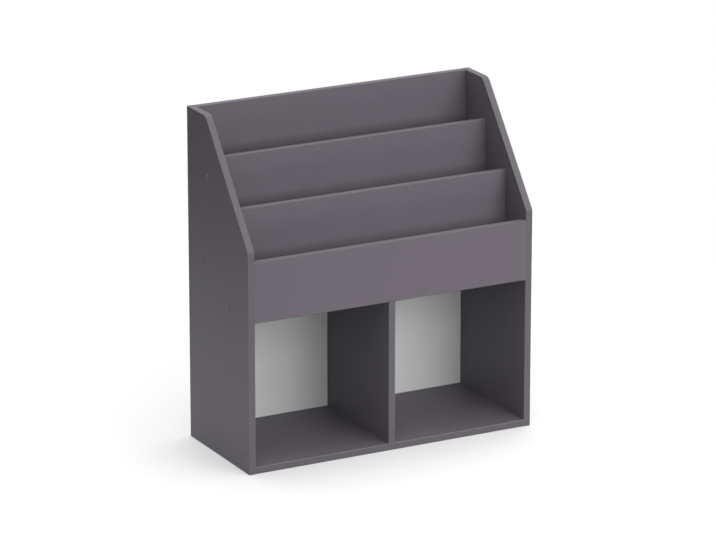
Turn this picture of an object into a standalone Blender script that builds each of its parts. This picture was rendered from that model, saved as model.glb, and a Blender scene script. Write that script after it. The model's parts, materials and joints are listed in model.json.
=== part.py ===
"""Kids bookcase: two open cubbies at the bottom and three stepped book pockets above them.

Flat-pack furniture in melamine-faced chipboard. The boards are held by one-piece connector screws with
plastic caps, by cam locks with their bolts, and by wooden dowels. A thin white sheet closes the cubbies
at the back and is pinned to the rear edges of the boards.

Units are metres. +X is the viewer's right, the open front faces -Y, and +Z is up. The origin is the middle
of the footprint, on the floor.
"""

import math

import bmesh
import bpy
from mathutils import Vector

# The carcass
WIDTH = 0.720
SIDE_DEPTH = 0.300
HEIGHT = 0.780
TOP_FLAT = 0.094  # level top of a side, forward from its rear edge
LEAN_RISE = 0.024  # from the front panel's top up to where a side starts to lean back
BOARD = 0.016  # melamine-faced chipboard
BLIND_WALL = 0.004  # board left behind a blind hole
BACK_SHEET = 0.003  # hardboard
SHEET_INSET = 0.002  # the sheet stops short of the outer edges
EDGE_ROUND = 0.0008
FIT_GAP = 0.0003  # left between pieces that touch

# The compartments
CUBBY_HEIGHT = 0.336
FRONT_HEIGHT = 0.141
FLOOR_LIFT = 0.088  # from the front pocket's floor up to that of the two rear pockets

# Connector screws, driven through a board's face into the end of another
SCREW_LENGTH = 0.050
SCREW_HEAD_RADIUS = 0.005
SCREW_HEAD_RIM = 0.0015
SCREW_HEAD_CONE = 0.003
SCREW_SHANK_RADIUS = 0.0035
SCREW_CORE_RADIUS = 0.0025
SCREW_TIP = 0.004
SCREW_SINK = 0.0005  # the head lies this far below the face
SOCKET_RADIUS = 0.0022
SOCKET_DEPTH = 0.0026
DIVIDER_SCREW_DROP = 0.042  # below a pocket divider's top edge
BASE_SCREW_INSET = 0.060  # from the front and rear edges of the centre divider

# Plastic caps that cover the screw heads
CAP_OVERLAP = 0.001  # a cap reaches this far past the screw's hole
CAP_RIM = 0.0005
CAP_DOME = 0.0007
CAP_CROWN_RADIUS = 0.0038  # where the dome flattens out
CAP_CROWN = 0.0001

# Cam locks in a board, and the bolts that they grip, which stand in a side
CAM_RADIUS = 0.0075
CAM_SLOT_LENGTH = 0.010
CAM_SLOT_WIDTH = 0.0022
CAM_SLOT_DEPTH = 0.0028
CAM_REACH = 0.034  # from the board's end to the cam's middle
BOLT_THREAD_RADIUS = 0.003
BOLT_SHANK_RADIUS = 0.0034
BOLT_NECK_RADIUS = 0.002
BOLT_NECK_LENGTH = 0.006
BOLT_HEAD_RADIUS = 0.0032
BOLT_HEAD_LENGTH = 0.003
BOLT_PLAY = 0.0006  # round the bolt in the held board
FRONT_CAM_DROP = 0.041  # below the front panel's top
BACK_CAM_DROP = 0.060  # below the upper back panel's top
BASE_CAM_INSET = 0.050  # from the bottom panel's front and rear edges

# Beech dowels
DOWEL_RADIUS = 0.004
DOWEL_LENGTH = 0.030
DOWEL_CHAMFER = 0.001
FRONT_DOWEL_RISE = 0.045  # above the front panel's lower edge
BACK_DOWEL_RISE = 0.130  # above the upper back panel's lower edge
CENTRE_DOWEL_INSET = 0.045  # from the front and rear edges of the centre divider

# Steel pins that hold the back sheet
PIN_LENGTH = 0.020
PIN_RADIUS = 0.0008
PIN_HEAD_RADIUS = 0.002
PIN_HEAD_HEIGHT = 0.0006
PIN_INSET = 0.050  # from the sheet's lower and upper edges

# How round shapes are drawn, and how cutters reach
CAP_SIDES = 16
CAM_SIDES = 16
SHAFT_SIDES = 12
PIN_SIDES = 8
SOCKET_SIDES = 6
EDGE_STEPS = 2
SHARP_EDGE = math.radians(50)
MERGE_DISTANCE = 0.00001
OVERSHOOT = 0.002  # a cutter reaches this far past the face that it opens

# The upright boards that the pockets lie between, from the front
UPRIGHTS = ("front", "front_divider", "rear_divider", "upper_back")
POCKETS = len(UPRIGHTS) - 1

# Planes that the boards share
DEPTH = SIDE_DEPTH + FIT_GAP + BACK_SHEET + FIT_GAP + PIN_HEAD_HEIGHT
FRONT_Y = -DEPTH / 2
REAR_Y = FRONT_Y + SIDE_DEPTH
SHEET_Y = REAR_Y + FIT_GAP
OUTER_X = WIDTH / 2
INNER_X = OUTER_X - BOARD
END_X = INNER_X - FIT_GAP  # a board's end, between the sides
CUBBY_TOP_Z = BOARD + CUBBY_HEIGHT
POCKET_BASE_Z = CUBBY_TOP_Z + BOARD
FRONT_TOP_Z = CUBBY_TOP_Z + FRONT_HEIGHT
RAISED_TOP_Z = POCKET_BASE_Z + FLOOR_LIFT
POCKET_PITCH = (SIDE_DEPTH - BOARD) / POCKETS
POCKET_STEP = (HEIGHT - FRONT_TOP_Z) / POCKETS
UPRIGHT_Y = {name: FRONT_Y + BOARD / 2 + i * POCKET_PITCH for i, name in enumerate(UPRIGHTS)}
UPRIGHT_TOP_Z = {name: FRONT_TOP_Z + i * POCKET_STEP for i, name in enumerate(UPRIGHTS)}

# Sizes that follow from what a piece fits into
BLIND_DEPTH = BOARD - BLIND_WALL
DEPTH_IN_FACE = BLIND_DEPTH - FIT_GAP  # of a dowel or a bolt that stands in a board's face
CAM_HEIGHT = BLIND_DEPTH - 2 * FIT_GAP
CAP_RADIUS = SCREW_HEAD_RADIUS + FIT_GAP + CAP_OVERLAP
CAP_PEG_RADIUS = SOCKET_RADIUS * math.cos(math.pi / SOCKET_SIDES) - FIT_GAP
CAP_PEG_LENGTH = SCREW_SINK + SOCKET_DEPTH
BOLT_HOLE_RADIUS = max(BOLT_SHANK_RADIUS, BOLT_HEAD_RADIUS) + BOLT_PLAY

UP = Vector((0, 0, 1))
DOWN = Vector((0, 0, -1))
FORWARD = Vector((0, -1, 0))
BACKWARD = Vector((0, 1, 0))
INWARD = {"left": Vector((1, 0, 0)), "right": Vector((-1, 0, 0))}

# Linear colour, roughness and metallic value
FINISHES = {
    "anthracite_melamine": ((0.156, 0.138, 0.159), 0.48, 0.0),
    "white_hardboard": ((0.78, 0.78, 0.77), 0.45, 0.0),
    "zinc_plated_steel": ((0.60, 0.60, 0.58), 0.35, 1.0),
    "cast_zinc": ((0.50, 0.50, 0.50), 0.45, 1.0),
    "anthracite_plastic": ((0.150, 0.140, 0.153), 0.40, 0.0),
    "beech": ((0.56, 0.37, 0.20), 0.65, 0.0),
}


def new_collection(name):
    collection = bpy.data.collections.new(name)
    bpy.context.scene.collection.children.link(collection)
    return collection


for old in list(bpy.data.objects):
    bpy.data.objects.remove(old)
PARTS = new_collection("kids_bookcase")
CUTTERS = new_collection("cutters")
ROOT = bpy.data.objects.new("kids_bookcase", None)
PARTS.objects.link(ROOT)


def add_part(obj, finish):
    """Puts a piece under the root, with a material of its own."""
    PARTS.objects.link(obj)
    obj.parent = ROOT
    colour, roughness, metallic = FINISHES[finish]
    material = bpy.data.materials.new(f"{obj.name}_{finish}")
    material.use_nodes = True
    shader = material.node_tree.nodes["Principled BSDF"]
    shader.inputs["Base Color"].default_value = (*colour, 1.0)
    shader.inputs["Roughness"].default_value = roughness
    shader.inputs["Metallic"].default_value = metallic
    material.diffuse_color = (*colour, 1.0)
    obj.data.materials.append(material)
    return obj


def add_cutter(obj):
    CUTTERS.objects.link(obj)
    obj.hide_render = True
    obj.display_type = "WIRE"
    return obj


def cut(target, cutter):
    boolean = target.modifiers.new(f"cut_{cutter.name}", "BOOLEAN")
    boolean.operation = "DIFFERENCE"
    boolean.object = cutter


def round_edges(obj):
    bevel = obj.modifiers.new("round_edges", "BEVEL")
    bevel.width = EDGE_ROUND
    bevel.segments = EDGE_STEPS
    bevel.limit_method = "ANGLE"


def pointing(direction):
    """The rotation that turns an object's own -Z along direction."""
    return direction.to_track_quat("-Z", "Y").to_euler()


def box_object(name, low, high):
    """A box between two corners, with its size in the mesh and its place in the object."""
    low, high = Vector(low), Vector(high)
    mesh = bpy.data.meshes.new(name)
    shape = bmesh.new()
    bmesh.ops.create_cube(shape, size=1)
    bmesh.ops.scale(shape, vec=high - low, verts=shape.verts)
    shape.to_mesh(mesh)
    shape.free()
    obj = bpy.data.objects.new(name, mesh)
    obj.location = (low + high) / 2
    return obj


def turned(name, profile, sides, head, direction):
    """A solid of revolution. The profile is (radius, height) down its outer side, from axis to axis.

    Height 0 lies at head, and the shape points along direction below it.
    """
    mesh = bpy.data.meshes.new(name)
    points = [(radius, 0, height) for radius, height in profile]
    mesh.from_pydata(points, [(i, i + 1) for i in range(len(points) - 1)], [])
    obj = bpy.data.objects.new(name, mesh)
    obj.location = head
    obj.rotation_euler = pointing(direction)
    turn = obj.modifiers.new("turn", "SCREW")
    turn.steps = sides
    turn.render_steps = sides
    turn.use_merge_vertices = True
    turn.merge_threshold = MERGE_DISTANCE
    return obj


def cylinder_profile(radius, top, bottom):
    return [(0, top), (radius, top), (radius, bottom), (0, bottom)]


def drill(name, profile, sides, head, direction, targets):
    """Cuts one turned hole through every piece that it crosses."""
    cutter = add_cutter(turned(f"{name}_hole", profile, sides, head, direction))
    for target in targets:
        cut(target, cutter)


def board(name, low, high):
    panel = add_part(box_object(name, low, high), "anthracite_melamine")
    round_edges(panel)
    return panel


def upright(name, key, bottom_z):
    """A board that stands between the sides, at its place in the row of pockets."""
    middle_y, half = UPRIGHT_Y[key], BOARD / 2
    return board(name, (-END_X, middle_y - half, bottom_z), (END_X, middle_y + half, UPRIGHT_TOP_Z[key]))


def side_panel(name, middle_x):
    """An upright side: level at the top rear, leaning back above the front panel."""
    outline = [
        (FRONT_Y, 0),
        (REAR_Y, 0),
        (REAR_Y, HEIGHT),
        (REAR_Y - TOP_FLAT, HEIGHT),
        (FRONT_Y, FRONT_TOP_Z + LEAN_RISE),
    ]
    curve = bpy.data.curves.new(name, "CURVE")
    curve.dimensions = "2D"
    curve.fill_mode = "BOTH"
    curve.extrude = BOARD / 2
    spline = curve.splines.new("POLY")
    spline.points.add(len(outline) - 1)
    for point, (y, z) in zip(spline.points, outline):
        point.co = (y, z, 0, 1)
    spline.use_cyclic_u = True
    drawn = bpy.data.objects.new(f"{name}_outline", curve)
    CUTTERS.objects.link(drawn)
    drawn.location = (middle_x, 0, 0)
    drawn.rotation_euler = (math.pi / 2, 0, math.pi / 2)  # the outline's X and Y become Y and Z

    graph = bpy.context.evaluated_depsgraph_get()
    mesh = bpy.data.meshes.new_from_object(drawn.evaluated_get(graph))
    shape = bmesh.new()
    shape.from_mesh(mesh)
    bmesh.ops.remove_doubles(shape, verts=shape.verts, dist=MERGE_DISTANCE)
    bmesh.ops.recalc_face_normals(shape, faces=shape.faces)
    shape.to_mesh(mesh)
    shape.free()
    mesh.shade_flat()
    panel = bpy.data.objects.new(name, mesh)
    panel.matrix_world = drawn.matrix_world
    bpy.data.objects.remove(drawn)
    add_part(panel, "anthracite_melamine")
    round_edges(panel)
    return panel


def back_sheet():
    edge_x = OUTER_X - SHEET_INSET
    low = (-edge_x, SHEET_Y, SHEET_INSET)
    high = (edge_x, SHEET_Y + BACK_SHEET, POCKET_BASE_Z - SHEET_INSET)
    return add_part(box_object("lower_back_sheet", low, high), "white_hardboard")


def make_boards():
    """Every board of the carcass. The two sides come first, then what stands or lies between them."""
    half = BOARD / 2
    boards = {
        "side_left": side_panel("side_panel_left", half - OUTER_X),
        "side_right": side_panel("side_panel_right", OUTER_X - half),
        "bottom": board("bottom_panel", (-END_X, FRONT_Y, 0), (END_X, REAR_Y, BOARD)),
    }
    low = (-half, FRONT_Y, BOARD + FIT_GAP)
    high = (half, REAR_Y, CUBBY_TOP_Z - FIT_GAP)
    boards["centre"] = board("centre_divider", low, high)

    low = (-END_X, FRONT_Y + BOARD + FIT_GAP, CUBBY_TOP_Z)
    high = (END_X, REAR_Y, POCKET_BASE_Z)
    boards["cubby_top"] = board("cubby_top_panel", low, high)

    low = (-END_X, UPRIGHT_Y["front_divider"] + half + FIT_GAP, RAISED_TOP_Z - BOARD)
    high = (END_X, UPRIGHT_Y["upper_back"] - half - FIT_GAP, RAISED_TOP_Z)
    boards["raised_floor"] = board("raised_pocket_floor", low, high)

    on_cubby_top = POCKET_BASE_Z + FIT_GAP
    boards["front"] = upright("front_panel", "front", CUBBY_TOP_Z)
    boards["front_divider"] = upright("pocket_divider_front", "front_divider", on_cubby_top)
    boards["rear_divider"] = upright("pocket_divider_rear", "rear_divider", RAISED_TOP_Z + FIT_GAP)
    boards["upper_back"] = upright("upper_back_panel", "upper_back", on_cubby_top)
    boards["back_sheet"] = back_sheet()
    return boards


def screw_profile(clearance, above_head):
    """Countersunk head, plain shank and core. The thread bites into the wood and is drawn as its core."""
    cone_end = -SCREW_HEAD_RIM - SCREW_HEAD_CONE
    shank_end = -BOARD - FIT_GAP
    return [
        (0, above_head),
        (SCREW_HEAD_RADIUS + clearance, above_head),
        (SCREW_HEAD_RADIUS + clearance, -SCREW_HEAD_RIM),
        (SCREW_SHANK_RADIUS + clearance, cone_end),
        (SCREW_SHANK_RADIUS + clearance, shank_end),
        (SCREW_CORE_RADIUS + clearance, shank_end - clearance),
        (SCREW_CORE_RADIUS + clearance, SCREW_TIP - SCREW_LENGTH),
        (0, -SCREW_LENGTH - clearance),
    ]


def connector_screw(name, face_point, direction, panels):
    """A screw sunk into a face, with its socket and the hole that it needs in each panel."""
    head = Vector(face_point) + direction * SCREW_SINK
    screw = turned(name, screw_profile(0, 0), SHAFT_SIDES, head, direction)
    add_part(screw, "zinc_plated_steel")
    hole = screw_profile(FIT_GAP, SCREW_SINK + OVERSHOOT)
    drill(name, hole, SHAFT_SIDES, head, direction, panels)
    socket = cylinder_profile(SOCKET_RADIUS, OVERSHOOT, -SOCKET_DEPTH)
    drill(f"{name}_socket", socket, SOCKET_SIDES, head, direction, [screw])


def screw_cap(name, face_point, direction):
    """A low domed cap on the face, with a peg that fits the screw's socket."""
    seat = Vector(face_point) - direction * FIT_GAP
    crown = CAP_RIM + CAP_DOME
    profile = [
        (0, crown),
        (CAP_CROWN_RADIUS, crown - CAP_CROWN),
        (CAP_RADIUS, CAP_RIM),
        (CAP_RADIUS, 0),
        (CAP_PEG_RADIUS, 0),
        (CAP_PEG_RADIUS, -CAP_PEG_LENGTH),
        (0, -CAP_PEG_LENGTH),
    ]
    add_part(turned(name, profile, CAP_SIDES, seat, direction), "anthracite_plastic")


def cam_lock(name, middle, open_face, panel):
    """A cam let into the face of a panel that open_face points out of, with a cross slot to turn it."""
    into_panel = -open_face
    top = middle + open_face * (BOARD / 2 - FIT_GAP)
    cam = turned(name, cylinder_profile(CAM_RADIUS, 0, -CAM_HEIGHT), CAM_SIDES, top, into_panel)
    add_part(cam, "cast_zinc")
    hole = cylinder_profile(CAM_RADIUS + FIT_GAP, OVERSHOOT, -CAM_HEIGHT - FIT_GAP)
    drill(name, hole, CAM_SIDES, top, into_panel, [panel])
    long, wide = CAM_SLOT_LENGTH / 2, CAM_SLOT_WIDTH / 2
    for arm, (x, y) in {"across": (long, wide), "along": (wide, long)}.items():
        reach = Vector((x, y, CAM_SLOT_DEPTH))
        slot = add_cutter(box_object(f"{name}_slot_{arm}", -reach, reach))
        slot.location = top
        slot.rotation_euler = pointing(into_panel)
        cut(cam, slot)
    return cam


def cam_bolt(name, face_point, inward, side_board, held):
    """A bolt that stands in the inner face of a side, with its head in the cam of the held pieces."""
    head_end = -(FIT_GAP + CAM_REACH + BOLT_HEAD_LENGTH / 2)
    head_start = head_end + BOLT_HEAD_LENGTH
    neck_start = head_start + BOLT_NECK_LENGTH
    profile = [
        (0, DEPTH_IN_FACE),
        (BOLT_THREAD_RADIUS, DEPTH_IN_FACE),
        (BOLT_THREAD_RADIUS, 0),
        (BOLT_SHANK_RADIUS, -FIT_GAP),
        (BOLT_SHANK_RADIUS, neck_start),
        (BOLT_NECK_RADIUS, neck_start),
        (BOLT_NECK_RADIUS, head_start),
        (BOLT_HEAD_RADIUS, head_start),
        (BOLT_HEAD_RADIUS, head_end),
        (0, head_end),
    ]
    add_part(turned(name, profile, SHAFT_SIDES, face_point, inward), "zinc_plated_steel")
    thread_hole = cylinder_profile(BOLT_THREAD_RADIUS + FIT_GAP, BLIND_DEPTH, -OVERSHOOT)
    drill(f"{name}_thread", thread_hole, SHAFT_SIDES, face_point, inward, [side_board])
    bolt_hole = cylinder_profile(BOLT_HOLE_RADIUS, OVERSHOOT, head_end - FIT_GAP)
    drill(name, bolt_hole, SHAFT_SIDES, face_point, inward, held)


def cam_joint(place, side, boards, held, y, z, open_face):
    """A cam lock near the end of the held board, and its bolt in the side. The bolt lies along X at y, z."""
    inward = INWARD[side]
    face_point = Vector((-inward.x * INNER_X, y, z))
    middle = face_point + inward * (FIT_GAP + CAM_REACH)
    cam = cam_lock(f"cam_lock_{place}_{side}", middle, open_face, boards[held])
    targets = [boards[held], cam]
    cam_bolt(f"cam_bolt_{place}_{side}", face_point, inward, boards[f"side_{side}"], targets)


def dowel(name, face_point, direction, face_board, end_board):
    """A dowel that stands in a board's face and runs along direction into another board's edge."""
    top, bottom = DEPTH_IN_FACE, DEPTH_IN_FACE - DOWEL_LENGTH
    slim = DOWEL_RADIUS - DOWEL_CHAMFER
    profile = [
        (0, top),
        (slim, top),
        (DOWEL_RADIUS, top - DOWEL_CHAMFER),
        (DOWEL_RADIUS, bottom + DOWEL_CHAMFER),
        (slim, bottom),
        (0, bottom),
    ]
    add_part(turned(name, profile, SHAFT_SIDES, face_point, direction), "beech")
    hole = cylinder_profile(DOWEL_RADIUS + FIT_GAP, BLIND_DEPTH, bottom - FIT_GAP)
    drill(name, hole, SHAFT_SIDES, face_point, direction, [face_board, end_board])


def back_pin(name, x, z, sheet, behind):
    """A pin through the back sheet into the rear edge of a board."""
    head = Vector((x, SHEET_Y + BACK_SHEET + FIT_GAP, z))
    profile = [
        (0, PIN_HEAD_HEIGHT),
        (PIN_HEAD_RADIUS, PIN_HEAD_HEIGHT),
        (PIN_HEAD_RADIUS, 0),
        (PIN_RADIUS, 0),
        (PIN_RADIUS, -PIN_LENGTH),
        (0, -PIN_LENGTH),
    ]
    add_part(turned(name, profile, PIN_SIDES, head, FORWARD), "zinc_plated_steel")
    hole = cylinder_profile(PIN_RADIUS + FIT_GAP, OVERSHOOT, -PIN_LENGTH - FIT_GAP)
    drill(name, hole, PIN_SIDES, head, FORWARD, [sheet, behind])


def fasten_to_side(side, boards):
    """What joins the other boards to one side."""
    inward, side_board = INWARD[side], boards[f"side_{side}"]
    outer_x, inner_x = -inward.x * OUTER_X, -inward.x * INNER_X
    floors = {
        "raised_floor": (UPRIGHT_Y["rear_divider"], RAISED_TOP_Z - BOARD / 2),
        "cubby_top": (UPRIGHT_Y["front_divider"], CUBBY_TOP_Z + BOARD / 2),
    }
    dividers = {
        key: (UPRIGHT_Y[key], UPRIGHT_TOP_Z[key] - DIVIDER_SCREW_DROP)
        for key in ("front_divider", "rear_divider")
    }
    for held, (y, z) in {**floors, **dividers}.items():
        point = (outer_x, y, z)
        connector_screw(f"screw_{held}_{side}", point, inward, [side_board, boards[held]])
        screw_cap(f"screw_cap_{held}_{side}", point, inward)

    front_y, front_z = UPRIGHT_Y["front"], FRONT_TOP_Z - FRONT_CAM_DROP
    cam_joint("front_panel", side, boards, "front", front_y, front_z, BACKWARD)
    back_y, back_z = UPRIGHT_Y["upper_back"], HEIGHT - BACK_CAM_DROP
    cam_joint("upper_back", side, boards, "upper_back", back_y, back_z, BACKWARD)
    base_rows = {"base_front": FRONT_Y + BASE_CAM_INSET, "base_rear": REAR_Y - BASE_CAM_INSET}
    for place, y in base_rows.items():
        cam_joint(place, side, boards, "bottom", y, BOARD / 2, DOWN)

    front_point = (inner_x, front_y, CUBBY_TOP_Z + FRONT_DOWEL_RISE)
    dowel(f"dowel_front_panel_{side}", front_point, inward, side_board, boards["front"])
    back_point = (inner_x, back_y, POCKET_BASE_Z + BACK_DOWEL_RISE)
    dowel(f"dowel_upper_back_{side}", back_point, inward, side_board, boards["upper_back"])


def fasten_centre_divider(boards):
    screw_rows = {"front": FRONT_Y + BASE_SCREW_INSET, "rear": REAR_Y - BASE_SCREW_INSET}
    for row, y in screw_rows.items():
        connector_screw(f"screw_base_{row}", (0, y, 0), UP, [boards["bottom"], boards["centre"]])
    dowel_rows = {"front": FRONT_Y + CENTRE_DOWEL_INSET, "rear": REAR_Y - CENTRE_DOWEL_INSET}
    for row, y in dowel_rows.items():
        point = (0, y, CUBBY_TOP_Z)
        dowel(f"dowel_centre_{row}", point, DOWN, boards["cubby_top"], boards["centre"])


def stand_pocket_dividers(boards):
    stands_on = {
        "front_divider": ("cubby_top", POCKET_BASE_Z),
        "rear_divider": ("raised_floor", RAISED_TOP_Z),
    }
    for key, (floor, floor_z) in stands_on.items():
        point = (0, UPRIGHT_Y[key], floor_z)
        dowel(f"dowel_{key}", point, UP, boards[floor], boards[key])


def pin_back_sheet(boards):
    rows = {
        "low": SHEET_INSET + PIN_INSET,
        "high": POCKET_BASE_Z - SHEET_INSET - PIN_INSET,
    }
    columns = {
        "left": (BOARD / 2 - OUTER_X, "side_left"),
        "centre": (0, "centre"),
        "right": (OUTER_X - BOARD / 2, "side_right"),
    }
    for column, (x, behind) in columns.items():
        for row, z in rows.items():
            back_pin(f"back_pin_{column}_{row}", x, z, boards["back_sheet"], boards[behind])


def shade_round_pieces():
    """Applies the modifiers of each turned piece and shades it smooth between its sharp edges."""
    graph = bpy.context.evaluated_depsgraph_get()
    for obj in PARTS.objects:
        if "turn" not in obj.modifiers:
            continue
        mesh = bpy.data.meshes.new_from_object(obj.evaluated_get(graph))
        mesh.shade_smooth()
        mesh.set_sharp_from_angle(angle=SHARP_EDGE)
        obj.modifiers.clear()
        obj.data = mesh


def main():
    boards = make_boards()
    for side in INWARD:
        fasten_to_side(side, boards)
    fasten_centre_divider(boards)
    stand_pocket_dividers(boards)
    pin_back_sheet(boards)
    shade_round_pieces()


main()
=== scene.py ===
import json
import math

import bmesh
import bpy
import numpy as np
from mathutils import Matrix, Vector

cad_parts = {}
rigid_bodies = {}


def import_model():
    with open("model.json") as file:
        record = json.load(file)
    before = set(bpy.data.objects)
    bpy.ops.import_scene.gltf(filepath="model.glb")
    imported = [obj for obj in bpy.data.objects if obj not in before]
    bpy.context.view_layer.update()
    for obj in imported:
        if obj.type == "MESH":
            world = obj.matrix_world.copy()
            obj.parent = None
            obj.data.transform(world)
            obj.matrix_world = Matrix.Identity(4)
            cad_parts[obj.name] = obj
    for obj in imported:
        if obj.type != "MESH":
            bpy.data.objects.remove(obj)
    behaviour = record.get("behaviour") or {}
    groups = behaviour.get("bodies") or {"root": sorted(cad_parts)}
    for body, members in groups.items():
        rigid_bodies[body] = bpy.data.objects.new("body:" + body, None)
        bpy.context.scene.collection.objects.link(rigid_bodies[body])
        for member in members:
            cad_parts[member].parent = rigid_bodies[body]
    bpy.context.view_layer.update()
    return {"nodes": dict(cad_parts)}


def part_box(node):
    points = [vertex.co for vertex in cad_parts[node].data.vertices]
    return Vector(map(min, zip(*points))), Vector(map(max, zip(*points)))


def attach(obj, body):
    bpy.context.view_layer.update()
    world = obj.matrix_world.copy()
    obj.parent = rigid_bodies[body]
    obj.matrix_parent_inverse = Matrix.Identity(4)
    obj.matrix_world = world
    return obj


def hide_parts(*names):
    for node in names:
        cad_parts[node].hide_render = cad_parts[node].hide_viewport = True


# Kids bookcase in anthracite melamine board: edge-banded boards, a white back sheet and flat-pack fittings.
# Metres; +X is the viewer's right, the front faces -Y, +Z is up.

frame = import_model()
nodes = frame["nodes"]
mm = 0.001
print("frame loaded with", len(nodes), "CAD nodes")


# Small helpers

def linear(hexColour):
    # sRGB to linear light: a straight toe, then a power of 2.4
    coded = np.array([int(hexColour[i:i + 2], 16) for i in (1, 3, 5)]) / 255
    light = np.where(coded <= 0.04045, coded / 12.92, ((coded + 0.055) / 1.055) ** 2.4)
    return (*light.tolist(), 1.0)


def perMetre(sizeMm):
    # texture scale on Object coordinates, which are in metres
    return 1000 / sizeMm


def addNode(tree, kind, settings=(), inputs=()):
    # an input is another node's output socket or a plain value
    node = tree.nodes.new(kind)
    for name, value in dict(settings).items():
        setattr(node, name, value)
    for key, value in dict(inputs).items():
        if isinstance(value, bpy.types.NodeSocket):
            tree.links.new(value, node.inputs[key])
        else:
            node.inputs[key].default_value = value
    return node


def startMaterial(name, sockets):
    # a material with one Principled shader; what is the same all over is set on its own sockets
    material = bpy.data.materials.new(name)
    material.use_nodes = True
    tree = material.node_tree
    shader = tree.nodes["Principled BSDF"]
    for key, value in sockets.items():
        shader.inputs[key].default_value = value
    return material, tree, shader


def linkShader(tree, shader, outputs):
    for key, output in outputs.items():
        tree.links.new(output, shader.inputs[key])


def meshFrom(name, points, faces):
    # a mesh whose faces are turned to point outward
    mesh = bpy.data.meshes.new(name)
    mesh.from_pydata(np.asarray(points).reshape(-1, 3), [], faces)
    shape = bmesh.new()
    shape.from_mesh(mesh)
    bmesh.ops.recalc_face_normals(shape, faces=shape.faces)
    shape.to_mesh(mesh)
    shape.free()
    return mesh


def addPiece(name, mesh, materials, replaced=()):
    piece = bpy.data.objects.new(name, mesh)
    bpy.context.scene.collection.objects.link(piece)
    for material in materials:
        mesh.materials.append(material)
    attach(piece, "root")
    if replaced:
        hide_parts(*replaced)


def carvedMesh(mesh, cutterMeshes):
    # the mesh less each cutter in turn, by an exact Boolean; points a hair apart are then welded
    weld = 0.001 * mm
    sceneObjects = bpy.context.scene.collection.objects
    block = bpy.data.objects.new("block", mesh)
    sceneObjects.link(block)
    tools = []
    for cutterMesh in cutterMeshes:
        tool = bpy.data.objects.new("tool", cutterMesh)
        sceneObjects.link(tool)
        tools.append(tool)
        cut = block.modifiers.new("cut", "BOOLEAN")
        cut.operation = "DIFFERENCE"
        cut.solver = "EXACT"
        cut.object = tool
    graph = bpy.context.evaluated_depsgraph_get()
    carved = bpy.data.meshes.new_from_object(block.evaluated_get(graph))
    for spent in [block, *tools]:
        bpy.data.objects.remove(spent)
    shape = bmesh.new()
    shape.from_mesh(carved)
    bmesh.ops.remove_doubles(shape, verts=shape.verts, dist=weld)
    shape.to_mesh(carved)
    shape.free()
    return carved


def softShade(mesh, sharpAngle=38):
    mesh.shade_smooth()
    mesh.set_sharp_from_angle(angle=math.radians(sharpAngle))


# Surfaces

def gridFaces(rows, columns, loopRows=False, loopColumns=False):
    # quads between neighbouring rows and columns, closed where the grid loops
    index = np.arange(rows * columns).reshape(rows, columns)
    if loopRows:
        index = np.vstack([index, index[:1]])
    if loopColumns:
        index = np.hstack([index, index[:, :1]])
    quads = np.stack([index[:-1, :-1], index[1:, :-1], index[1:, 1:], index[:-1, 1:]], axis=-1)
    return quads.reshape(-1, 4).tolist()


def edgeNormals(outline):
    # unit normal of the edge that leaves each corner, outward on an anticlockwise outline
    ahead = np.roll(outline, -1, axis=0) - outline
    return np.column_stack([ahead[:, 1], -ahead[:, 0]]) / np.linalg.norm(ahead, axis=1, keepdims=True)


def moveEdges(outline, inward):
    # every edge moves in along its normal, and a corner lies where its two edges' lines then meet
    normal = edgeNormals(outline)
    reach = (normal * outline).sum(axis=1) - inward
    lines = np.stack([np.roll(normal, 1, axis=0), normal], axis=1)
    limits = np.stack([np.roll(reach, 1), reach], axis=1)
    return np.linalg.solve(lines, limits[..., None])[..., 0]


def carryProfile(path, profile, closed):
    # point(i, j) = path[i] + outward[j] * mitre[i] in the plane of the path, and across[j] square to it.
    # A mitre is the sum of the two edges' normals over one plus their dot product.
    after = edgeNormals(path)
    if not closed:
        after[-1] = after[-2]
    before = np.roll(after, 1, axis=0)
    if not closed:
        before[0] = after[0]
    mitre = (after + before) / (1 + (after * before).sum(axis=1, keepdims=True))
    outward, across = profile.T
    plane = path[:, None, :] + outward[None, :, None] * mitre[:, None, :]
    through = np.broadcast_to(across[None, :, None], (*plane.shape[:2], 1))
    return np.concatenate([plane, through], axis=2)


def runAlong(corners):
    # how far along the straight runs each corner lies
    return np.concatenate([[0], np.cumsum(np.hypot(*np.diff(corners, axis=0).T))])


def sampleProfile(corners, step):
    # straight runs between the corners, with points no further apart than step
    corners = np.asarray(corners, float)
    place = runAlong(corners)
    along = np.unique(np.concatenate([place, np.arange(0, place[-1], step)]).round(6))
    return np.column_stack([np.interp(along, place, corners[:, 0]), np.interp(along, place, corners[:, 1])])


def turnProfile(profile, sides, ripple=None):
    # point(i, j) = (r[i] cos a[j], r[i] sin a[j], -depth[i]); ripple(depth, angle) is added to the radius.
    # The profile, in mm, runs from axis to axis, and each end is one pole with a fan of triangles.
    profile = np.asarray(profile, float) * mm
    radius, depth = profile[1:-1].T
    angle = np.arange(sides) * 2 * np.pi / sides
    reach = np.repeat(radius[:, None], sides, axis=1)
    if ripple is not None:
        reach = reach + ripple(depth[:, None], angle[None, :])
    rings = np.stack([reach * np.cos(angle), reach * np.sin(angle),
                      np.repeat(-depth[:, None], sides, axis=1)], axis=-1).reshape(-1, 3)
    poles = np.array([[0, 0, -profile[0, 1]], [0, 0, -profile[-1, 1]]])
    points = np.vstack([rings, poles])
    first = np.arange(sides)
    last = first + sides * (len(radius) - 1)
    fans = [np.column_stack([np.full(sides, len(rings) + end), ring, np.roll(ring, -1)])
            for end, ring in enumerate((first, last))]
    faces = gridFaces(len(radius), sides, loopColumns=True)
    return points, faces + fans[0].tolist() + fans[1].tolist()


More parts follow.
